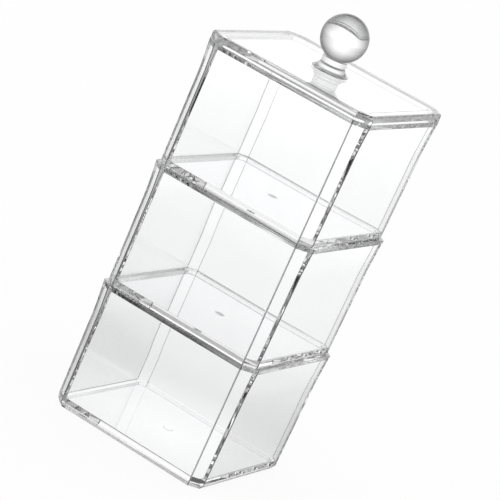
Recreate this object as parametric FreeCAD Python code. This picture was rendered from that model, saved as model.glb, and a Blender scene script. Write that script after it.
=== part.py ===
import FreeCAD, Part
import math
import os

# A stacking storage box of clear plastic: square trays with cut corners stand in one
# another, and a lid with a ball knob closes the top one.
# Sizes are in millimetres. Z is up and the origin is the middle of the underside.

# Trays, from the bottom up. All are the same moulding.
tray_names = ["bottom_tray", "middle_tray", "top_tray"]
rim_width = 95.5             # across the flats at the rim
rim_corner_cut = 6.75        # taken off each side at the corners of the rim
tray_height = 68.35          # underside to rim
wall_thickness = 2.7
wall_draft = 0.83            # degrees that the walls lean outwards
flare_height = 15.0          # the top of each wall leans out further
flare_reach = 0.86           # how much further out that puts the rim
flare_blend = 4.0            # the lean changes over twice this height
floor_thickness = 2.85
outer_corner_radius = 0.6
inner_corner_radius = 0.3

# Underside of a tray: a bevelled ring round a shallow hollow
base_bevel_width = 1.75
base_bevel_height = 2.7
base_ring_width = 2.75
base_hollow_depth = 2.3
gate_diameter = 5.0          # round moulding mark in the middle of the hollow
gate_height = 0.4

# The bevel of one piece stands in a seat of the same slope inside the rim below it
nest_depth = 1.8
seat_depth = 2.7

# Lid
lid_inset = 0.1              # the lid's sides stand this far inside the rim's
lid_thickness = 4.5
lid_edge_bevel = 0.9
lid_hollow_depth = 2.3

# Knob: a flared foot with a collar, and a ball with a small flat that stands in it
knob_foot_diameter = 19.6
knob_foot_edge = 1.05        # height of the foot's sharp edge over the lid
knob_foot_undercut = 1.0     # how far the foot draws in under that edge
knob_waist_diameter = 12.8
knob_waist_height = 4.6
knob_flare_sag = 0.35        # how hollow the flare is
collar_diameter = 13.4
collar_lip = 0.3             # height of the slope from the waist out to the collar
collar_height = 7.4          # above the lid
cup_depth = 0.5
ball_diameter = 24.4
ball_flat_diameter = 7.9
glue_gap = 0.05

# Derived places
rim_half = rim_width / 2
lean = math.tan(math.radians(wall_draft))
bevel_slope = base_bevel_width / base_bevel_height


def wall_half(depth):
    """Half the outer width of a tray, this far below its rim."""
    flare = max(0.0, 1 - depth / flare_height) * flare_reach
    return rim_half - flare_reach - lean * depth + flare


ring_half = wall_half(tray_height - base_bevel_height) - base_bevel_width
ring_inner_half = ring_half - base_ring_width
seat_half = ring_half + nest_depth * bevel_slope
seat_foot_half = seat_half - seat_depth * bevel_slope
floor_top = base_hollow_depth + floor_thickness
pitch = tray_height - nest_depth


def outline(half, z, radius):
    """Corner points of a square with cut corners, each as (arc start, arc middle, arc end).

    The cut shrinks with the width, so that walls keep their thickness round the corners.
    """
    cut = rim_corner_cut - (2 - math.sqrt(2)) * (rim_half - half)
    side = half - cut
    corners = [(side, -half), (half, -side), (half, side), (side, half),
               (-side, half), (-half, side), (-half, -side), (-side, -half)]
    corners = [FreeCAD.Vector(x, y, z) for x, y in corners]
    trim = radius * math.tan(math.radians(22.5))
    sag = radius / math.cos(math.radians(22.5)) - radius
    points = []
    for i, corner in enumerate(corners):
        back = (corners[i - 1] - corner).normalize()
        on = (corners[(i + 1) % 8] - corner).normalize()
        inward = (back + on).normalize()
        points.append((corner + back * trim, corner + inward * sag, corner + on * trim))
    return points


def outline_wire(points):
    edges = []
    for i, (start, middle, end) in enumerate(points):
        edges.append(Part.Arc(start, middle, end).toShape())
        edges.append(Part.makeLine(end, points[(i + 1) % 8][0]))
    return Part.Wire(edges)


def band(lower, upper):
    """Faces between two outlines: flat sides with rounded corners, or one flat ring."""
    if abs(lower[0][0].z - upper[0][0].z) < 1e-6:
        wires = [outline_wire(lower), outline_wire(upper)]
        wires.sort(key=lambda wire: wire.BoundBox.XLength, reverse=True)
        return [Part.makeFace(wires, "Part::FaceMakerBullseye")]
    faces = []
    for i in range(8):
        a, b = lower[i], upper[i]
        next_a, next_b = lower[(i + 1) % 8][0], upper[(i + 1) % 8][0]
        faces.append(Part.Face(Part.makePolygon([a[2], next_a, next_b, b[2], a[2]])))
        faces.append(Part.makeRuledSurface(Part.Arc(*a).toShape(), Part.Arc(*b).toShape()))
    return faces


def solid_from_outlines(levels):
    """Closed solid through (half width, height, corner radius) levels, capped at both ends."""
    outlines = [outline(*level) for level in levels]
    faces = [Part.Face(outline_wire(outlines[0])), Part.Face(outline_wire(outlines[-1]))]
    for lower, upper in zip(outlines, outlines[1:]):
        faces.extend(band(lower, upper))
    shell = Part.makeShell(faces)
    shell.sewShape()
    solid = Part.makeSolid(shell)
    if solid.Volume < 0:
        solid.reverse()
    if not solid.isValid():
        raise RuntimeError("a moulding is not a closed solid")
    return solid


def revolved(edges):
    face = Part.Face(Part.Wire(edges))
    return face.revolve(FreeCAD.Vector(0, 0, 0), FreeCAD.Vector(0, 0, 1), 360)


def seating_ring(z, hollow_depth):
    """Levels of the underside, from the hollow out to the bottom of the bevel."""
    return [(ring_inner_half, z + hollow_depth, inner_corner_radius),
            (ring_inner_half, z, inner_corner_radius),
            (ring_half, z, outer_corner_radius)]


def tray(z):
    rim = z + tray_height
    levels = seating_ring(z, base_hollow_depth)
    levels.append((ring_half + base_bevel_width, z + base_bevel_height, outer_corner_radius))
    for depth in (flare_height + flare_blend, flare_height - flare_blend, 0.0):
        levels.append((wall_half(depth), rim - depth, outer_corner_radius))
    levels.append((seat_half, rim, inner_corner_radius))
    levels.append((seat_foot_half, rim - seat_depth, inner_corner_radius))
    floor_half = wall_half(tray_height - floor_top) - wall_thickness
    levels.append((floor_half, z + floor_top, inner_corner_radius))
    mark_place = FreeCAD.Vector(0, 0, z + base_hollow_depth - gate_height)
    mark = Part.makeCylinder(gate_diameter / 2, gate_height, mark_place)
    return solid_from_outlines(levels).fuse(mark)


def lid_panel(z):
    """The lid's underside seats in the top rim just as a tray's does; z is that rim."""
    half = rim_half - lid_inset
    levels = seating_ring(z - nest_depth, lid_hollow_depth)
    levels.append((seat_half, z, outer_corner_radius))
    levels.append((half, z, outer_corner_radius))
    levels.append((half, z + lid_thickness - lid_edge_bevel, outer_corner_radius))
    levels.append((half - lid_edge_bevel, z + lid_thickness, outer_corner_radius))
    return solid_from_outlines(levels)


def ball_centre_above_lid():
    flat_to_centre = math.sqrt((ball_diameter / 2) ** 2 - (ball_flat_diameter / 2) ** 2)
    return collar_height - cup_depth + flat_to_centre


def arc_about_axis(centre_z, radius, low_z, high_z):
    """Arc of a circle centred on the axis, from low_z up to high_z, in the XZ plane."""
    points = []
    for z in (low_z, (low_z + high_z) / 2, high_z):
        reach = math.sqrt(max(0.0, radius ** 2 - (z - centre_z) ** 2))
        points.append(FreeCAD.Vector(reach, 0, z))
    return Part.Arc(*points).toShape()


def chain(*points):
    """Straight edges through (radius, height) points."""
    places = [FreeCAD.Vector(radius, 0, z) for radius, z in points]
    return [Part.makeLine(a, b) for a, b in zip(places, places[1:])]


def knob_foot(z):
    foot = knob_foot_diameter / 2
    waist = knob_waist_diameter / 2
    collar = collar_diameter / 2
    top = z + collar_height
    cup_floor = top - cup_depth
    cup = arc_about_axis(z + ball_centre_above_lid(), ball_diameter / 2 + glue_gap, cup_floor, top)
    cup_floor_end, cup_mouth = cup.Vertexes[0].Point, cup.Vertexes[-1].Point
    edge_top = FreeCAD.Vector(foot, 0, z + knob_foot_edge)
    waist_place = FreeCAD.Vector(waist, 0, z + knob_waist_height)
    hollow = (waist_place - edge_top).cross(FreeCAD.Vector(0, 1, 0)).normalize()
    flare_middle = (edge_top + waist_place) * 0.5 - hollow * knob_flare_sag
    edges = chain((0, z), (foot - knob_foot_undercut, z), (foot, z + knob_foot_edge))
    edges.append(Part.Arc(edge_top, flare_middle, waist_place).toShape())
    edges += chain((waist, z + knob_waist_height), (collar, z + knob_waist_height + collar_lip),
                   (collar, top), (cup_mouth.x, top))
    edges.append(cup)
    edges += chain((cup_floor_end.x, cup_floor), (0, cup_floor), (0, z))
    return revolved(edges)


def knob_ball(z):
    radius = ball_diameter / 2
    centre = z + ball_centre_above_lid()
    flat = z + collar_height - cup_depth
    top = centre + radius
    side = Part.Arc(FreeCAD.Vector(ball_flat_diameter / 2, 0, flat),
                    FreeCAD.Vector(radius, 0, centre), FreeCAD.Vector(0, 0, top)).toShape()
    edges = [side] + chain((0, top), (0, flat), (ball_flat_diameter / 2, flat))
    return revolved(edges)


def build():
    pieces = {name: tray(i * pitch) for i, name in enumerate(tray_names)}
    lid_bottom = (len(tray_names) - 1) * pitch + tray_height
    lid_top = lid_bottom + lid_thickness
    pieces["lid_panel"] = lid_panel(lid_bottom)
    pieces["knob_foot"] = knob_foot(lid_top)
    pieces["knob_ball"] = knob_ball(lid_top)
    return pieces


os.makedirs("parts", exist_ok=True)
for name, shape in build().items():
    shape.exportStep("parts/" + name + ".step")
    print(name, "valid", shape.isValid(), "volume", round(shape.Volume, 1), "box", shape.BoundBox)
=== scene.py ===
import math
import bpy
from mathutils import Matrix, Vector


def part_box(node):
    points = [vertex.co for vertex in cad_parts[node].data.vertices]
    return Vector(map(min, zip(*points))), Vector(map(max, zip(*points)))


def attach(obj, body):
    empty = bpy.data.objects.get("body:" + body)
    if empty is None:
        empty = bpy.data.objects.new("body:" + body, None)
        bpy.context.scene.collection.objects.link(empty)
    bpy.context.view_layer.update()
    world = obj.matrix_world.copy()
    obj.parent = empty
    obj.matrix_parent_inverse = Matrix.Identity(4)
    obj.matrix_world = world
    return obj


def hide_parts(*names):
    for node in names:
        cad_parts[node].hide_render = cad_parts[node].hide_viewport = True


bl_info = {
    "name": "Stacking pad box",
    "version": (1, 0, 0),
    "blender": (4, 5, 0),
    "location": "3D View > Sidebar > Pad Box",
    "description": "Builds a clear stacking box for cotton pads, its studio and its camera",
    "category": "Add Mesh",
}

import bmesh
import bpy
from bpy.props import FloatProperty, FloatVectorProperty, PointerProperty
from mathutils import Matrix, Vector

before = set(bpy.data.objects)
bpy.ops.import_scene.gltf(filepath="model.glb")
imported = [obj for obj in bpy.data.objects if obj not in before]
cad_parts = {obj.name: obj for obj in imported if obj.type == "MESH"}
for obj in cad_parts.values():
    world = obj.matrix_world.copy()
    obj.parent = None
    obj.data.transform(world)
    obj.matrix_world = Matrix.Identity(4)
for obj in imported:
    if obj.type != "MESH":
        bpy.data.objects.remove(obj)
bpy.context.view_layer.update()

MM = 0.001
TRAY_PIECES = (("bottom_tray", "bottom"), ("middle_tray", "middle"), ("top_tray", "top"))
# its moulding mark lies by the floor, where it doesn't show
LOWEST_BODY = "bottom"  # its moulding mark lies by the bright floor, so it keeps the clear plastic without painted shade
TRAY_LOW, TRAY_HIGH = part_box("bottom_tray")
TRAY_HEIGHT = TRAY_HIGH.z - TRAY_LOW.z
LID_LOW, LID_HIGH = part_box("lid_panel")
FOOT_LOW, FOOT_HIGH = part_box("knob_foot")
BALL_LOW, BALL_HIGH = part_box("knob_ball")
BALL_CENTRE = BALL_HIGH.z - BALL_HIGH.x  # its height


# Sizes and finishes that a user would change

def length(name, description, millimetres):
    """A length, given in millimetres and kept in metres."""
    return FloatProperty(name=name, description=description, default=millimetres * MM,
                         min=0.0, precision=5, subtype="DISTANCE", unit="LENGTH")


def angle(name, description, degrees):
    """An angle, given in degrees and kept in radians."""
    return FloatProperty(name=name, description=description, default=math.radians(degrees),
                         subtype="ANGLE", unit="ROTATION")


def fraction(name, description, value):
    """A number from 0 to 1."""
    return FloatProperty(name=name, description=description, default=value,
                         min=0.0, max=1.0, subtype="FACTOR")


def colour(name, description, value):
    """A colour with its alpha."""
    return FloatVectorProperty(name=name, description=description, default=value,
                               min=0.0, max=1.0, size=4, subtype="COLOR")


class PadBoxTraySizes(bpy.types.PropertyGroup):
    corner_cut: length("Corner cut", "Taken off each side at the rim's corners", 6.75)
    wall: length("Wall", "Thickness of the walls", 2.7)
    flare_height: length("Flare height", "How far down the walls lean further out", 15.0)
    flare_reach: length("Flare reach", "How much further out the rim stands", 0.86)
    flare_blend: length("Flare blend", "The lean changes over twice this height", 4.0)
    draft: angle("Draft", "How far the walls lean outwards", 0.83)
    floor: length("Floor", "Thickness of the floor", 2.85)
    bevel_width: length("Base bevel width", "Width of the bevel round the underside", 1.75)
    bevel_height: length("Base bevel height", "Height of the bevel round the underside", 2.7)
    ring: length("Base ring", "Width of the flat ring under the tray", 2.75)
    hollow: length("Base hollow", "Depth of the hollow under the floor", 2.3)
    nest: length("Nest depth", "How far one piece stands in the rim below", 1.8)
    seat: length("Seat depth", "Depth of the bevelled seat inside the rim", 2.7)
    outer_round: length("Outer rounding", "Rounding of the outside corners", 0.4)
    inner_round: length("Inner rounding", "Rounding of the inside corners", 0.25)
    edge_round: length("Edge rounding", "Rounding of the level edges", 0.2)
    play: length("Play", "Air between pieces that touch", 0.03)
    gate_width: length("Gate mark width", "Moulding mark under each floor", 5.0)
    gate_height: length("Gate mark height", "How far the mark stands out", 0.3)
    gate_slope: length("Gate mark slope", "Width of the slope round the mark", 0.3)


class PadBoxLidSizes(bpy.types.PropertyGroup):
    edge_bevel: length("Edge bevel", "Bevel round the top of the lid", 0.9)
    hollow: length("Lid hollow", "Depth of the hollow under the lid", 2.3)


class PadBoxKnobSizes(bpy.types.PropertyGroup):
    foot_edge: length("Foot edge", "Height of the foot's sharp edge over the lid", 1.05)
    undercut: length("Foot undercut", "How far the foot draws in under its edge", 1.0)
    waist_width: length("Waist", "Width of the foot at its waist", 12.8)
    waist_height: length("Waist height", "Height of the waist over the lid", 4.6)
    flare_sag: length("Flare sag", "How hollow the flare is", 0.35)
    collar_width: length("Collar", "Width of the collar", 13.4)
    collar_lip: length("Collar lip", "Height of the slope from waist to collar", 0.3)
    turned_round: length("Turned rounding", "Rounding of the foot's and collar's edges", 0.25)
    cup: length("Cup depth", "How deep the ball stands in the collar", 0.5)
    glue_gap: length("Glue gap", "Air between the ball and its cup", 0.05)


class PadBoxFinish(bpy.types.PropertyGroup):
    tint: colour("Plastic tint", "Colour of the clear plastic", (0.995, 0.997, 1.0, 1.0))
    wave: fraction("Moulding waves", "Strength of the slow waves in the surface", 0.10)
    scuff: fraction("Scuff", "Roughness of the finest handling marks", 0.012)
    worn_rough: fraction("Worn roughness", "Roughness where the mould leaves it dull", 0.35)
    # The corners' grey is painted shade in their colour
    corner_painted_shade: fraction("Corner grey", "Light that the dull corners let through", 0.15)
    # The moulding mark's grey is painted shade in its colour
    mark_painted_shade: fraction("Mark grey", "Light that the moulding mark with painted shade lets through", 0.4)
    ior: FloatProperty(name="Refraction", description="Index of refraction", default=1.57,
                       min=1.0, max=2.0)


class PadBoxStudio(bpy.types.PropertyGroup):
    azimuth: angle("Azimuth", "How far round the camera stands", 22.512)
    pitch: angle("Pitch", "How far down the camera looks", 14.89)
    roll: angle("Roll", "How far the camera is turned about its view", 24.247)
    reach: length("Reach", "Level distance from the box's axis to the camera", 1399.633)
    height: length("Camera height", "Height of the camera", 480.566)
    lens: FloatProperty(name="Lens", description="Focal length of the lens in millimetres",
                        default=208.87, min=1.0)


# Shapes of the pieces

FIRST_DROP = 0.6 * MM         # height of the slab that a tray's walls are drawn down from
HOLLOW_LEAN = 0.01 * MM       # how far the side of the hollow leans in
MERGE_DISTANCE = 0.002 * MM   # points closer than this are one
LEVEL = 0.99                  # least upward part of the normal of a level face
UPRIGHT = 0.5                 # least rise of an upright edge, as a share of its length
SHARP = math.radians(30)      # least turn of an edge that is rounded
# How much a corner's cut shrinks as the sides draw in, so that walls keep their thickness
CUT_SHRINK = 2 - math.sqrt(2)
# The foot's rounded edge, from its undercut to its flare, as angles from straight up
FOOT_EDGE_TURN = (math.radians(135), math.radians(30))

# Steps in which each curve is made
WALL_FLARE_STEPS = 8
ROUNDING_STEPS = 3
GATE_STEPS = 48
TURNING_STEPS = 128
FOOT_EDGE_STEPS = 5
FOOT_FLARE_STEPS = 12
COLLAR_STEPS = 4
CUP_STEPS = 6
BALL_STEPS = 64


def new_piece(name, bm, body, node, slot, *materials):
    """Turn a finished bmesh into a piece that rides on a body in place of a CAD node."""
    mesh = bpy.data.meshes.new(name)
    bm.to_mesh(mesh)
    bm.free()
    mesh.shade_smooth()
    for material in materials:
        mesh.materials.append(material)
    piece = bpy.data.objects.new(name, mesh)
    bpy.context.scene.collection.objects.link(piece)
    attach(piece, body)
    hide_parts(node)
    return piece


def weigh_normals(piece):
    """Keep the flats flat beside their rounded edges."""
    modifier = piece.modifiers.new("even normals", "WEIGHTED_NORMAL")
    modifier.mode = "FACE_AREA"
    modifier.weight = 100  # the larger face wins
    modifier.keep_sharp = False


def facing(bm, up):
    """The largest level face that looks up, with 1, or down, with -1."""
    bm.normal_update()
    level = [f for f in bm.faces if f.normal.z * up > LEVEL]
    if not level:
        raise RuntimeError("a moulding has lost its level face")
    return max(level, key=lambda f: f.calc_area())


def step_in(bm, cap, inward, along):
    """Take a cap in by an even width, and move it along its own normal."""
    bmesh.ops.inset_region(bm, faces=[cap], thickness=inward, depth=along,
                           use_boundary=True, use_even_offset=True)


def cut_corner_slab(half, cut, low, high):
    """A square slab with cut corners. Gives the bmesh, its underside and its top."""
    bm = bmesh.new()
    bmesh.ops.create_grid(bm, x_segments=1, y_segments=1, size=half)
    bmesh.ops.bevel(bm, geom=bm.verts[:], offset=cut, offset_type="OFFSET", affect="VERTICES",
                    segments=1, profile=0.5, material=-1)
    bmesh.ops.translate(bm, verts=bm.verts, vec=(0, 0, high))
    grown = bmesh.ops.extrude_face_region(bm, geom=bm.faces[:], use_keep_orig=True)
    lower = [item for item in grown["geom"] if isinstance(item, bmesh.types.BMVert)]
    bmesh.ops.translate(bm, verts=lower, vec=(0, 0, low - high))
    bmesh.ops.recalc_face_normals(bm, faces=bm.faces)
    return bm, facing(bm, -1), facing(bm, 1)


def upright_edges(bm, outside):
    """The upright edges of the outside corners, or those of the inside corners."""
    edges = []
    for edge in bm.edges:
        run = edge.verts[1].co - edge.verts[0].co
        if len(edge.link_faces) != 2 or abs(run.z) < UPRIGHT * run.length:
            continue
        middle = (edge.verts[0].co + edge.verts[1].co) / 2
        looks = sum((f.normal for f in edge.link_faces), Vector())
        if (looks.dot(Vector((middle.x, middle.y, 0))) > 0) == outside:
            edges.append(edge)
    return edges


def round_off(bm, edges, radius, slot=-1):
    """Round these edges. With a slot, the new faces take its material."""
    if radius and edges:
        bmesh.ops.bevel(bm, geom=edges, offset=radius, affect="EDGES", segments=ROUNDING_STEPS,
                        profile=0.5, material=slot)
        bm.normal_update()


def round_edges(bm, sizes, corner_slot=-1):
    """Round the upright corners, then every edge that still turns sharply."""
    bm.normal_update()
    round_off(bm, upright_edges(bm, outside=True), sizes.outer_round, corner_slot)
    round_off(bm, upright_edges(bm, outside=False), sizes.inner_round)
    sharp = [e for e in bm.edges if len(e.link_faces) == 2 and e.calc_face_angle(0) > SHARP]
    round_off(bm, sharp, sizes.edge_round)


def close_up(bm):
    """Merge doubled points and turn the faces outwards. A piece with a hole is an error."""
    bmesh.ops.remove_doubles(bm, verts=bm.verts, dist=MERGE_DISTANCE)
    bmesh.ops.recalc_face_normals(bm, faces=bm.faces)
    if any(len(e.link_faces) != 2 for e in bm.edges):
        raise RuntimeError("a piece is not closed")


def add_gate_mark(bm, sizes, slot):
    """Let a round moulding mark stand down from the middle of the hollow."""
    ceiling = facing(bm, -1)
    z = ceiling.calc_center_median().z
    bmesh.ops.delete(bm, geom=[ceiling], context="FACES_ONLY")
    disc = bmesh.ops.create_circle(bm, cap_ends=True, segments=GATE_STEPS,
                                   radius=sizes.gate_width / 2 + sizes.gate_slope,
                                   matrix=Matrix.Translation((0, 0, z)))
    face = disc["verts"][0].link_faces[0]
    if face.normal.z > 0:
        bmesh.ops.reverse_faces(bm, faces=[face])
    step_in(bm, face, sizes.gate_slope, 0.0)
    step_in(bm, face, sizes.gate_slope, sizes.gate_height)
    face.material_index = slot
    open_edges = [e for e in bm.edges if e.is_boundary]
    bmesh.ops.triangle_fill(bm, use_beauty=True, use_dissolve=False, edges=open_edges)


def wall_half(sizes, depth):
    """Half the outer width of a tray, this far below its rim."""
    lean = math.tan(sizes.draft)
    top, reach, blend = sizes.flare_height, sizes.flare_reach, sizes.flare_blend
    flare = 0.0
    if depth < top - blend:
        flare = reach * (1 - depth / top)
    elif depth < top + blend:
        flare = reach * blend / top * ((top + blend - depth) / (2 * blend)) ** 2
    return TRAY_HIGH.x - reach - lean * depth + flare


def ring_half(sizes):
    """Half the outer width of the flat ring that a tray stands on."""
    return wall_half(sizes, TRAY_HEIGHT - sizes.bevel_height) - sizes.bevel_width


def draw_walls(bm, under, sizes):
    """Draw a tray's first slab down to the bevel, along the flare and lean of the walls."""
    half, depth = TRAY_HIGH.x, FIRST_DROP
    drop = sizes.flare_height + sizes.flare_blend - FIRST_DROP
    steps = WALL_FLARE_STEPS
    stops = [FIRST_DROP + drop * i / steps for i in range(1, steps + 1)]
    for stop in stops + [TRAY_HEIGHT - sizes.bevel_height]:
        step_in(bm, under, half - wall_half(sizes, stop), stop - depth)
        half, depth = wall_half(sizes, stop), stop


def seating_underside(bm, under, ring, hollow):
    """Flat ring and hollow of an underside that seats in the rim below."""
    step_in(bm, under, ring, 0.0)
    step_in(bm, under, HOLLOW_LEAN, -hollow)


def make_tray(sizes, low):
    """A tray that stands at this height. Its material slots: clear, corners, moulding mark; the
    corners and most marks are grey with painted shade.
    """
    rim = low + TRAY_HEIGHT
    bm, under, top = cut_corner_slab(TRAY_HIGH.x, sizes.corner_cut, rim - FIRST_DROP, rim)
    draw_walls(bm, under, sizes)
    step_in(bm, under, sizes.bevel_width, sizes.bevel_height)
    seating_underside(bm, under, sizes.ring, sizes.hollow)
    slope = sizes.bevel_width / sizes.bevel_height
    seat_half = ring_half(sizes) + sizes.nest * slope + sizes.play
    seat_foot_half = seat_half - sizes.seat * slope
    floor_top = sizes.hollow + sizes.floor
    floor_half = wall_half(sizes, TRAY_HEIGHT - floor_top) - sizes.wall
    step_in(bm, top, TRAY_HIGH.x - seat_half, 0.0)
    step_in(bm, top, seat_half - seat_foot_half, -sizes.seat)
    step_in(bm, top, seat_foot_half - floor_half, floor_top - TRAY_HEIGHT + sizes.seat)
    round_edges(bm, sizes, corner_slot=1)
    add_gate_mark(bm, sizes, slot=2)
    close_up(bm)
    return bm


def make_lid(sizes, lid):
    """The lid, whose bevelled underside seats in the top rim."""
    half = LID_HIGH.x
    cut = sizes.corner_cut - CUT_SHRINK * (TRAY_HIGH.x - half)
    low = LID_LOW.z + sizes.nest + sizes.play
    bm, under, top = cut_corner_slab(half, cut, low, LID_HIGH.z - lid.edge_bevel)
    step_in(bm, top, lid.edge_bevel, lid.edge_bevel)
    seated = sizes.nest * sizes.bevel_width / sizes.bevel_height
    step_in(bm, under, half - ring_half(sizes) - seated, 0.0)
    step_in(bm, under, seated, sizes.nest)
    seating_underside(bm, under, sizes.ring, lid.hollow)
    round_edges(bm, sizes)
    close_up(bm)
    return bm


def arc(centre, radius, first, last, steps):
    """Points of an arc about a (radius, height) centre, by angle from straight up."""
    points = []
    for i in range(steps + 1):
        turn = first + (last - first) * i / steps
        points.append((max(0.0, centre[0] + radius * math.sin(turn)),
                       centre[1] + radius * math.cos(turn)))
    return points


def hollow_curve(start, end, sag, steps):
    """Points after the start, along a curve that sags inwards on its way to the end."""
    start, end = Vector(start), Vector(end)
    across = Vector((end.y - start.y, start.x - end.x)).normalized()
    points = []
    for i in range(1, steps + 1):
        t = i / steps
        bow = 4 * t * (1 - t)  # 1 half way
        place = start.lerp(end, t) - across * sag * bow
        points.append((place.x, place.y))
    return points


def foot_outline(knob, play):
    """The foot as (radius, height) points, from under its middle round to its cup."""
    low, top, soft = FOOT_LOW.z, FOOT_HIGH.z, knob.turned_round
    foot, waist, collar = FOOT_HIGH.x, knob.waist_width / 2, knob.collar_width / 2
    points = [(0, low + play), (foot - knob.undercut, low + play)]
    points += arc((foot - soft, low + knob.foot_edge - soft), soft, *FOOT_EDGE_TURN,
                  FOOT_EDGE_STEPS)
    points += hollow_curve(points[-1], (waist, low + knob.waist_height), knob.flare_sag,
                           FOOT_FLARE_STEPS)
    points.append((collar, points[-1][1] + knob.collar_lip))
    points += arc((collar - soft, top - soft), soft, math.pi / 2, 0, COLLAR_STEPS)
    radius = BALL_HIGH.x + knob.glue_gap
    mouth = math.acos((top - BALL_CENTRE) / radius)
    bottom = math.acos((top - knob.cup - BALL_CENTRE) / radius)
    points += arc((0, BALL_CENTRE), radius, mouth, bottom, CUP_STEPS)
    points.append((0, top - knob.cup))
    return points


def ball_outline(knob):
    """The ball as (radius, height) points, from its top round to its small flat."""
    flat = BALL_LOW.z + knob.glue_gap
    last = math.acos((flat - BALL_CENTRE) / BALL_HIGH.x)
    return arc((0, BALL_CENTRE), BALL_HIGH.x, 0, last, BALL_STEPS) + [(0, flat)]


def spun(points):
    """A closed turned piece from (radius, height) points that start and end on the axis."""
    bm = bmesh.new()
    places = [bm.verts.new((radius, 0, z)) for radius, z in points]
    edges = [bm.edges.new(pair) for pair in zip(places, places[1:])]
    bmesh.ops.spin(bm, geom=places + edges, cent=(0, 0, 0), axis=(0, 0, 1),
                   angle=math.tau, steps=TURNING_STEPS, use_merge=True, use_duplicate=False)
    close_up(bm)
    return bm


# Shader nodes

def add_node(tree, kind, **values):
    """Add a node. Each value sets the input of that name or, failing that, the setting."""
    made = tree.nodes.new(kind)
    for key, value in values.items():
        if key in made.inputs:
            made.inputs[key].default_value = value
        else:
            setattr(made, key, value)
    return made


def mapped(tree, source, given, wanted=(0.0, 1.0)):
    """A value moved from the given range into the wanted one."""
    made = add_node(tree, "ShaderNodeMapRange")
    made.inputs["From Min"].default_value, made.inputs["From Max"].default_value = given
    made.inputs["To Min"].default_value, made.inputs["To Max"].default_value = wanted
    tree.links.new(source, made.inputs["Value"])
    return made.outputs["Result"]


def ramp(tree, source, stops, interpolation="LINEAR"):
    """Greys looked up by a value, through (value, grey) stops."""
    low, high = stops[0][0], stops[-1][0]
    made = add_node(tree, "ShaderNodeValToRGB")
    made.color_ramp.interpolation = interpolation
    elements = made.color_ramp.elements
    while len(elements) > 1:
        elements.remove(elements[-1])
    elements[0].position, elements[0].color = 0.0, (stops[0][1],) * 3 + (1,)
    for at, grey in stops[1:]:
        elements.new((at - low) / (high - low)).color = (grey,) * 3 + (1,)
    tree.links.new(mapped(tree, source, (low, high)), made.inputs["Fac"])
    return made.outputs["Color"]


def calculated(tree, operation, *sources):
    """The result of a Math node on numbers and on the outputs of other nodes."""
    made = add_node(tree, "ShaderNodeMath", operation=operation)
    for i, source in enumerate(sources):
        if isinstance(source, (int, float)):
            made.inputs[i].default_value = source
        else:
            tree.links.new(source, made.inputs[i])
    return made.outputs["Value"]


def blended(tree, share, first, second):
    """The first value where the share is 0, and the second where it is 1."""
    change = calculated(tree, "SUBTRACT", second, first)
    return calculated(tree, "MULTIPLY_ADD", share, change, first)


# Materials of the box

WAVE_BUMP = 0.04 * MM         # height of the slow waves
WAVE_SCALE = 60.0             # waves to a metre
WAVE_SHADE = (1.0, 0.985)     # how far the colour varies with the waves
SCUFF_SCALE = 900.0           # handling marks to a metre
SCUFF_RANGE = (0.55, 0.8)     # noise that shows as no mark, and as a full one
# Painted shade in the ball's colour: greys from where it faces the viewer, 0, to its rim, 1
BALL_RIM_PAINTED_SHADE = [(0.0, 1.0), (0.12, 1.0), (0.24, 0.76), (0.35, 0.55), (0.5, 0.36), (0.6, 0.18),
            (0.76, 0.06), (1.0, 0.02)]


def moulded_surface_group():
    """Slow moulding waves, fine handling marks and a little variation of colour."""
    name = "moulded surface"
    if name in bpy.data.node_groups:
        return bpy.data.node_groups[name]
    group = bpy.data.node_groups.new(name, "ShaderNodeTree")
    face = group.interface
    for label, kind in (("Tint", "NodeSocketColor"), ("Wave", "NodeSocketFloat"),
                        ("Wave Scale", "NodeSocketFloat"), ("Scuff", "NodeSocketFloat")):
        face.new_socket(name=label, in_out="INPUT", socket_type=kind)
    for label, kind in (("Color", "NodeSocketColor"), ("Roughness", "NodeSocketFloat"),
                        ("Normal", "NodeSocketVector")):
        face.new_socket(name=label, in_out="OUTPUT", socket_type=kind)
    link = group.links.new
    given, out = add_node(group, "NodeGroupInput"), add_node(group, "NodeGroupOutput")
    place = add_node(group, "ShaderNodeTexCoord").outputs["Object"]

    waves = add_node(group, "ShaderNodeTexNoise", Detail=1.0, Roughness=0.4)
    link(place, waves.inputs["Vector"])
    link(given.outputs["Wave Scale"], waves.inputs["Scale"])
    bump = add_node(group, "ShaderNodeBump", Distance=WAVE_BUMP)
    link(waves.outputs["Fac"], bump.inputs["Height"])
    link(given.outputs["Wave"], bump.inputs["Strength"])
    link(bump.outputs["Normal"], out.inputs["Normal"])

    shade = add_node(group, "ShaderNodeMix", data_type="RGBA", blend_type="MULTIPLY")
    shade.inputs["Factor"].default_value = 1.0
    link(given.outputs["Tint"], shade.inputs["A"])
    link(mapped(group, waves.outputs["Fac"], (0.0, 1.0), WAVE_SHADE), shade.inputs["B"])
    link(shade.outputs["Result"], out.inputs["Color"])

    marks = add_node(group, "ShaderNodeTexNoise", Scale=SCUFF_SCALE, Detail=3.0, Roughness=0.6)
    link(place, marks.inputs["Vector"])
    scuffs = mapped(group, marks.outputs["Fac"], SCUFF_RANGE)
    link(calculated(group, "MULTIPLY", scuffs, given.outputs["Scuff"]), out.inputs["Roughness"])
    return group


def new_plastic(name):
    """A material for see-through plastic, and its shader."""
    material = bpy.data.materials.new(name)
    material.use_nodes = True
    shader = material.node_tree.nodes["Principled BSDF"]
    shader.inputs["Transmission Weight"].default_value = 1.0
    shader.inputs["IOR"].default_value = bpy.context.scene.pad_box_finish.ior
    return material, shader


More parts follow.
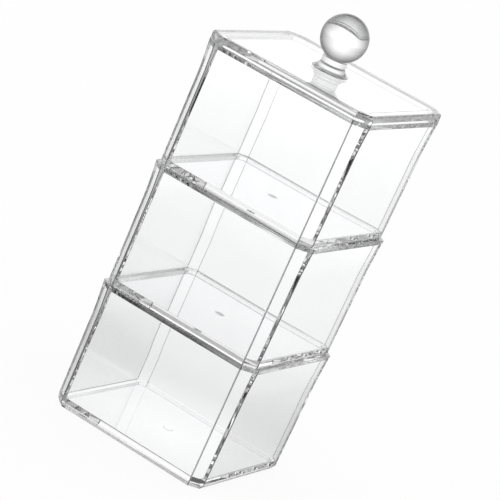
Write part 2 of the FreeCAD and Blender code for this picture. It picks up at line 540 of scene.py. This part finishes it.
def clear_plastic(name, waves):
    """Clear plastic, with this share of the moulding waves."""
    finish = bpy.context.scene.pad_box_finish
    material, shader = new_plastic(name)
    tree = material.node_tree
    surface = add_node(tree, "ShaderNodeGroup", node_tree=moulded_surface_group())
    surface.inputs["Tint"].default_value = finish.tint
    surface.inputs["Wave"].default_value = finish.wave * waves
    surface.inputs["Wave Scale"].default_value = WAVE_SCALE
    surface.inputs["Scuff"].default_value = finish.scuff
    tree.links.new(surface.outputs["Color"], shader.inputs["Base Color"])
    tree.links.new(surface.outputs["Roughness"], shader.inputs["Roughness"])
    tree.links.new(surface.outputs["Normal"], shader.inputs["Normal"])
    return material


def dull_plastic_with_painted_shade(name, grey):
    """The same plastic, rough where the mould or handling leaves it dull, and grey with painted
    shade.
    """
    material, shader = new_plastic(name)
    shader.inputs["Roughness"].default_value = bpy.context.scene.pad_box_finish.worn_rough
    # this grey in the colour is painted shade
    shader.inputs["Base Color"].default_value = (grey, grey, grey, 1)
    return material


def paint_rim_shade(material):
    """Paint shade into the colour, darker where the surface is seen at a slant, towards its rim.
    """
    tree = material.node_tree
    slant = add_node(tree, "ShaderNodeLayerWeight", Blend=0.5)
    greys = ramp(tree, slant.outputs["Facing"], BALL_RIM_PAINTED_SHADE)
    tree.links.new(greys, tree.nodes["Principled BSDF"].inputs["Base Color"])


# The studio: a floor and a sky that are both white to the camera. Seen through the plastic
# or in it they have greys, which draw its edges.

# Sides of the studio, as directions: the viewer stands in front
SIDES = {
    "front": (0.383, -0.924, 0.0),
    "right": (0.924, 0.383, 0.0),
    "back": (-0.383, 0.924, 0.0),
    "left": (-0.924, -0.383, 0.0),
    "far corner": (0.64, 0.77, 0.0),
}
# Greys of light seen straight through the plastic: of the floor by distance from the box
# in metres, and of the sky by height, where 0 is level and 1 straight up
STRAIGHT_FLOOR = [(0.0, 1.18), (0.1, 0.93), (0.3, 1.03), (0.7, 1.12), (1.2, 1.3)]
STRAIGHT_SKY = [(0.25, 1.1), (0.65, 0.75)]
# The share of it left, by the cosine of the turn away from straight behind the box
STRAIGHT_ROUND = [(0.0, 1.0), (0.57, 0.7), (0.82, 0.8), (0.94, 0.9), (0.99, 1.0)]
# How much a place counts as the middle of the floor, by distance in metres, and a direction
# as the middle of the sky, by height
MIDDLE_OF_FLOOR = [(0.1, 1.0), (0.25, 0.0)]
MIDDLE_OF_SKY = [(0.25, 0.0), (0.6, 1.0)]
# Greys of light that was reflected on its way: once or twice, up to six times, and more often
REFLECTION_STEPS = (0, 2.5, 6.5)
MOST_REFLECTIONS = 12  # end of that scale
NO_REFLECTION = 0.5    # fewer reflections than this are none
REFLECTED_NEAR_FLOOR = (0.4, 0.3)
REFLECTED_FLOOR = {
    "front": (0.6, 0.3, 0.4),
    "right": (0.9, 0.02, 0.1),
    "back": (0.75, 0.5, 0.6),
    "left": (0.25, 0.15, 0.7),
}
REFLECTED_SKY = {
    "front": (0.3, 0.4, 0.6),
    "right": (0.5, 0.05, 0.2),
    "back": (1.25, 1.0, 0.9),
    "left": (0.4, 0.5, 0.7),
}
REFLECTED_HIGH_SKY = (0.1, 0.4, 0.45)
# The light reflected more often is patchy, which breaks into sparkle in the edges
PATCH_GREYS = [(0.4, 0.15), (0.48, 0.9), (0.54, 1.0), (0.62, 1.8)]
SKY_PATCHES, FLOOR_PATCHES = 3.0, 25.0
# Under the box the light reflected more often brightens towards the far corner, in metres
NEAR_FLOOR_RISE = [(-0.035, 0.05), (0.0, 0.5), (0.05, 0.7)]
FLOOR_SIZE = 8.0                  # metres from the middle of the floor to its sides
PAPER_WHITE = (0.9, 0.9, 0.9, 1)  # paper that takes the box's shadow
FLOOR_WHITE = 0.93                # share of plain white over the paper, to the camera
CAMERA_SHIFT = (-0.0013, -0.0053)
CAMERA_CLIP = (0.05, 50.0)        # nearest and farthest distance in view, in metres
BOUNCES = 64                      # enough for light to cross every wall of the box
GLOSSY_BOUNCES = 48


def level_parts(tree, place):
    """Height of a place or direction, its level length, and its level direction."""
    parts = add_node(tree, "ShaderNodeSeparateXYZ")
    flat = add_node(tree, "ShaderNodeCombineXYZ")
    unit = add_node(tree, "ShaderNodeVectorMath", operation="NORMALIZE")
    span = add_node(tree, "ShaderNodeVectorMath", operation="LENGTH")
    tree.links.new(place, parts.inputs["Vector"])
    tree.links.new(parts.outputs["X"], flat.inputs["X"])
    tree.links.new(parts.outputs["Y"], flat.inputs["Y"])
    tree.links.new(flat.outputs["Vector"], unit.inputs[0])
    tree.links.new(flat.outputs["Vector"], span.inputs[0])
    return parts.outputs["Z"], span.outputs["Value"], unit.outputs["Vector"]


def towards(tree, direction, side):
    """How far a place or direction goes towards a side of the studio."""
    reach = add_node(tree, "ShaderNodeVectorMath", operation="DOT_PRODUCT")
    reach.inputs[1].default_value = SIDES[side]
    tree.links.new(direction, reach.inputs[0])
    return reach.outputs["Value"]


def reflected_past(tree, path, count):
    """1 for light that was reflected more often than this, and 0 for the rest."""
    return calculated(tree, "GREATER_THAN", path.outputs["Glossy Depth"], count)


def by_reflections(tree, path, greys):
    """One of up to three greys, by how often the light was reflected."""
    stops = list(zip(REFLECTION_STEPS, greys)) + [(MOST_REFLECTIONS, greys[-1])]
    return ramp(tree, path.outputs["Glossy Depth"], stops, "CONSTANT")


def reflected_light(tree, path, direction, middle_share, middle, around):
    """Light reflected on its way, from the middle of the floor or sky and from its sides.

    A side counts by the squared cosine of the turn to it, so the sides add up to one.
    """
    total = calculated(tree, "MULTIPLY", middle_share, middle)
    outer_share = calculated(tree, "SUBTRACT", 1.0, middle_share)
    for side, greys in around.items():
        cosine = calculated(tree, "MAXIMUM", towards(tree, direction, side), 0.0)
        squared = calculated(tree, "POWER", cosine, 2)
        side_share = calculated(tree, "MULTIPLY", squared, outer_share)
        light = by_reflections(tree, path, greys)
        total = calculated(tree, "MULTIPLY_ADD", side_share, light, total)
    return total


def patched(tree, light, often, place, scale):
    """The light with patches in it, where it was reflected often."""
    noise = add_node(tree, "ShaderNodeTexNoise", Scale=scale, Detail=0.0)
    tree.links.new(place, noise.inputs["Vector"])
    patches = ramp(tree, noise.outputs["Fac"], PATCH_GREYS)
    return calculated(tree, "MULTIPLY", light, blended(tree, often, 1.0, patches))


def sky_greys(tree, path):
    """What the plastic shows of the sky."""
    way = add_node(tree, "ShaderNodeTexCoord").outputs["Generated"]
    height, _, direction = level_parts(tree, way)
    left_over = ramp(tree, towards(tree, direction, "back"), STRAIGHT_ROUND)
    straight = calculated(tree, "MULTIPLY", ramp(tree, height, STRAIGHT_SKY), left_over)
    high = ramp(tree, height, MIDDLE_OF_SKY)
    middle = by_reflections(tree, path, REFLECTED_HIGH_SKY)
    reflected = reflected_light(tree, path, direction, high, middle, REFLECTED_SKY)
    often = reflected_past(tree, path, REFLECTION_STEPS[-1])
    reflected = patched(tree, reflected, often, way, SKY_PATCHES)
    return blended(tree, reflected_past(tree, path, NO_REFLECTION), straight, reflected)


def floor_greys(tree, path):
    """What the plastic shows of the floor."""
    place = add_node(tree, "ShaderNodeNewGeometry").outputs["Position"]
    _, span, direction = level_parts(tree, place)
    near = ramp(tree, span, MIDDLE_OF_FLOOR)
    turned = ramp(tree, towards(tree, direction, "back"), STRAIGHT_ROUND)
    left_over = blended(tree, near, turned, 1.0)
    straight = calculated(tree, "MULTIPLY", ramp(tree, span, STRAIGHT_FLOOR), left_over)
    often = reflected_past(tree, path, REFLECTION_STEPS[-1])
    rise = ramp(tree, towards(tree, place, "far corner"), NEAR_FLOOR_RISE)
    middle = blended(tree, often, by_reflections(tree, path, REFLECTED_NEAR_FLOOR), rise)
    reflected = reflected_light(tree, path, direction, near, middle, REFLECTED_FLOOR)
    reflected = patched(tree, reflected, often, place, FLOOR_PATCHES)
    return blended(tree, reflected_past(tree, path, NO_REFLECTION), straight, reflected)


def make_world():
    """A sky that is white to the camera and lights dull surfaces at a plain level."""
    world = bpy.data.worlds.new("studio")
    bpy.context.scene.world = world
    world.use_nodes = True
    tree = world.node_tree
    tree.nodes.clear()
    path = add_node(tree, "ShaderNodeLightPath")
    direct = calculated(tree, "MAXIMUM", path.outputs["Is Camera Ray"],
                        path.outputs["Is Diffuse Ray"])
    light = add_node(tree, "ShaderNodeBackground")
    tree.links.new(blended(tree, direct, sky_greys(tree, path), 1.0), light.inputs["Color"])
    out = add_node(tree, "ShaderNodeOutputWorld")
    tree.links.new(light.outputs["Background"], out.inputs["Surface"])


def floor_paper():
    """Pale paper that takes the box's shadow, and nearly white to the camera."""
    material = bpy.data.materials.new("studio floor paper")
    material.use_nodes = True
    tree = material.node_tree
    tree.nodes.clear()
    path = add_node(tree, "ShaderNodeLightPath")
    to_camera = path.outputs["Is Camera Ray"]
    paper = add_node(tree, "ShaderNodeBsdfDiffuse", Color=PAPER_WHITE)
    glow = add_node(tree, "ShaderNodeEmission")
    tree.links.new(blended(tree, to_camera, floor_greys(tree, path), 1.0), glow.inputs["Color"])
    shown = calculated(tree, "MAXIMUM", path.outputs["Is Glossy Ray"],
                       path.outputs["Is Transmission Ray"])
    camera_share = calculated(tree, "MULTIPLY", to_camera, FLOOR_WHITE)
    mix = add_node(tree, "ShaderNodeMixShader")
    tree.links.new(calculated(tree, "MAXIMUM", shown, camera_share), mix.inputs["Fac"])
    tree.links.new(paper.outputs["BSDF"], mix.inputs[1])
    tree.links.new(glow.outputs["Emission"], mix.inputs[2])
    out = add_node(tree, "ShaderNodeOutputMaterial")
    tree.links.new(mix.outputs["Shader"], out.inputs["Surface"])
    return material


def make_floor():
    """A wide level floor under the box."""
    bm = bmesh.new()
    bmesh.ops.create_grid(bm, x_segments=1, y_segments=1, size=FLOOR_SIZE)
    mesh = bpy.data.meshes.new("studio_floor")
    bm.to_mesh(mesh)
    bm.free()
    mesh.materials.append(floor_paper())
    floor = bpy.data.objects.new("studio_floor", mesh)
    bpy.context.scene.collection.objects.link(floor)


def make_camera():
    """A long lens that looks down on the box, turned about its view."""
    studio = bpy.context.scene.pad_box_studio
    azimuth, pitch, roll = studio.azimuth, studio.pitch, studio.roll
    onward = Vector((-math.sin(azimuth) * math.cos(pitch), math.cos(azimuth) * math.cos(pitch),
                     -math.sin(pitch)))
    right = Vector((math.cos(azimuth), math.sin(azimuth), 0))
    up = right.cross(onward)
    turned_right = right * math.cos(roll) + up * math.sin(roll)
    turned_up = up * math.cos(roll) - right * math.sin(roll)
    turn = Matrix((turned_right, turned_up, -onward)).transposed()
    data = bpy.data.cameras.new("camera")
    data.lens = studio.lens
    data.shift_x, data.shift_y = CAMERA_SHIFT
    data.clip_start, data.clip_end = CAMERA_CLIP
    camera = bpy.data.objects.new("camera", data)
    camera.location = (studio.reach * math.sin(azimuth), -studio.reach * math.cos(azimuth),
                       studio.height)
    camera.rotation_euler = turn.to_euler()
    bpy.context.scene.collection.objects.link(camera)
    bpy.context.scene.camera = camera


# Steps of the build

class PADBOX_OT_trays(bpy.types.Operator):
    """Mould the stacking trays"""
    bl_idname = "pad_box.trays"
    bl_label = "Trays"

    def execute(self, context):
        sizes, finish = context.scene.pad_box_tray, context.scene.pad_box_finish
        clear = clear_plastic("clear tray plastic", waves=1.0)
        # the rounded corners take a grey of painted shade
        corners = dull_plastic_with_painted_shade("tray corners with painted shade", finish.corner_painted_shade)
        mark = dull_plastic_with_painted_shade("moulding mark with painted shade", finish.mark_painted_shade)
        for node, body in TRAY_PIECES:
            bm = make_tray(sizes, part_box(node)[0].z)
            # the upper trays' marks are grey with painted shade; the lowest keeps the clear
            # plastic
            marked = clear if body == LOWEST_BODY else mark
            piece = new_piece(node + "_moulding", bm, body, node, "tray_plastic", clear, corners,
                              marked)
            weigh_normals(piece)
        return {"FINISHED"}


class PADBOX_OT_lid(bpy.types.Operator):
    """Mould the lid with its seating ring"""
    bl_idname = "pad_box.lid"
    bl_label = "Lid"

    def execute(self, context):
        bm = make_lid(context.scene.pad_box_tray, context.scene.pad_box_lid)
        plastic = clear_plastic("clear lid plastic", waves=0.8)
        piece = new_piece("lid_moulding", bm, "lid", "lid_panel", "lid_plastic", plastic)
        weigh_normals(piece)
        return {"FINISHED"}


class PADBOX_OT_knob_foot(bpy.types.Operator):
    """Turn the flared foot and collar of the knob"""
    bl_idname = "pad_box.knob_foot"
    bl_label = "Knob Foot"

    def execute(self, context):
        points = foot_outline(context.scene.pad_box_knob, context.scene.pad_box_tray.play)
        plastic = clear_plastic("clear knob foot plastic", waves=0.6)
        new_piece("knob_foot_turning", spun(points), "lid", "knob_foot", "knob_plastic", plastic)
        return {"FINISHED"}


class PADBOX_OT_knob_ball(bpy.types.Operator):
    """Turn the ball of the knob"""
    bl_idname = "pad_box.knob_ball"
    bl_label = "Knob Ball"

    def execute(self, context):
        points = ball_outline(context.scene.pad_box_knob)
        plastic = clear_plastic("clear knob ball plastic", waves=0.4)
        # the ball's colour gets painted shade towards its rim
        paint_rim_shade(plastic)
        new_piece("knob_ball_turning", spun(points), "lid", "knob_ball", "knob_plastic", plastic)
        return {"FINISHED"}


class PADBOX_OT_studio(bpy.types.Operator):
    """Set up the pale floor, the studio light and the camera"""
    bl_idname = "pad_box.studio"
    bl_label = "Studio"

    def execute(self, context):
        make_floor()
        make_world()
        make_camera()
        scene = context.scene
        scene.view_settings.view_transform = "Standard"
        scene.cycles.max_bounces = BOUNCES
        scene.cycles.transmission_bounces = BOUNCES
        scene.cycles.glossy_bounces = GLOSSY_BOUNCES
        return {"FINISHED"}


STEPS = (PADBOX_OT_trays, PADBOX_OT_lid, PADBOX_OT_knob_foot, PADBOX_OT_knob_ball,
         PADBOX_OT_studio)


class PADBOX_PT_panel(bpy.types.Panel):
    """Lists the steps of the build"""
    bl_label = "Pad Box"
    bl_idname = "PADBOX_PT_panel"
    bl_space_type = "VIEW_3D"
    bl_region_type = "UI"
    bl_category = "Pad Box"

    def draw(self, context):
        for step in STEPS:
            self.layout.operator(step.bl_idname)


GROUPS = {
    "pad_box_tray": PadBoxTraySizes,
    "pad_box_lid": PadBoxLidSizes,
    "pad_box_knob": PadBoxKnobSizes,
    "pad_box_finish": PadBoxFinish,
    "pad_box_studio": PadBoxStudio,
}
CLASSES = tuple(GROUPS.values()) + STEPS + (PADBOX_PT_panel,)


def register():
    for cls in CLASSES:
        bpy.utils.register_class(cls)
    for name, group in GROUPS.items():
        setattr(bpy.types.Scene, name, PointerProperty(type=group))


def unregister():
    for name in GROUPS:
        delattr(bpy.types.Scene, name)
    for cls in reversed(CLASSES):
        bpy.utils.unregister_class(cls)


def main():
    """Build the box and its studio."""
    register()
    for step in STEPS:
        group, name = step.bl_idname.split(".")
        getattr(getattr(bpy.ops, group), name)()
    bpy.context.view_layer.update()


if __name__ == "__main__":
    main()
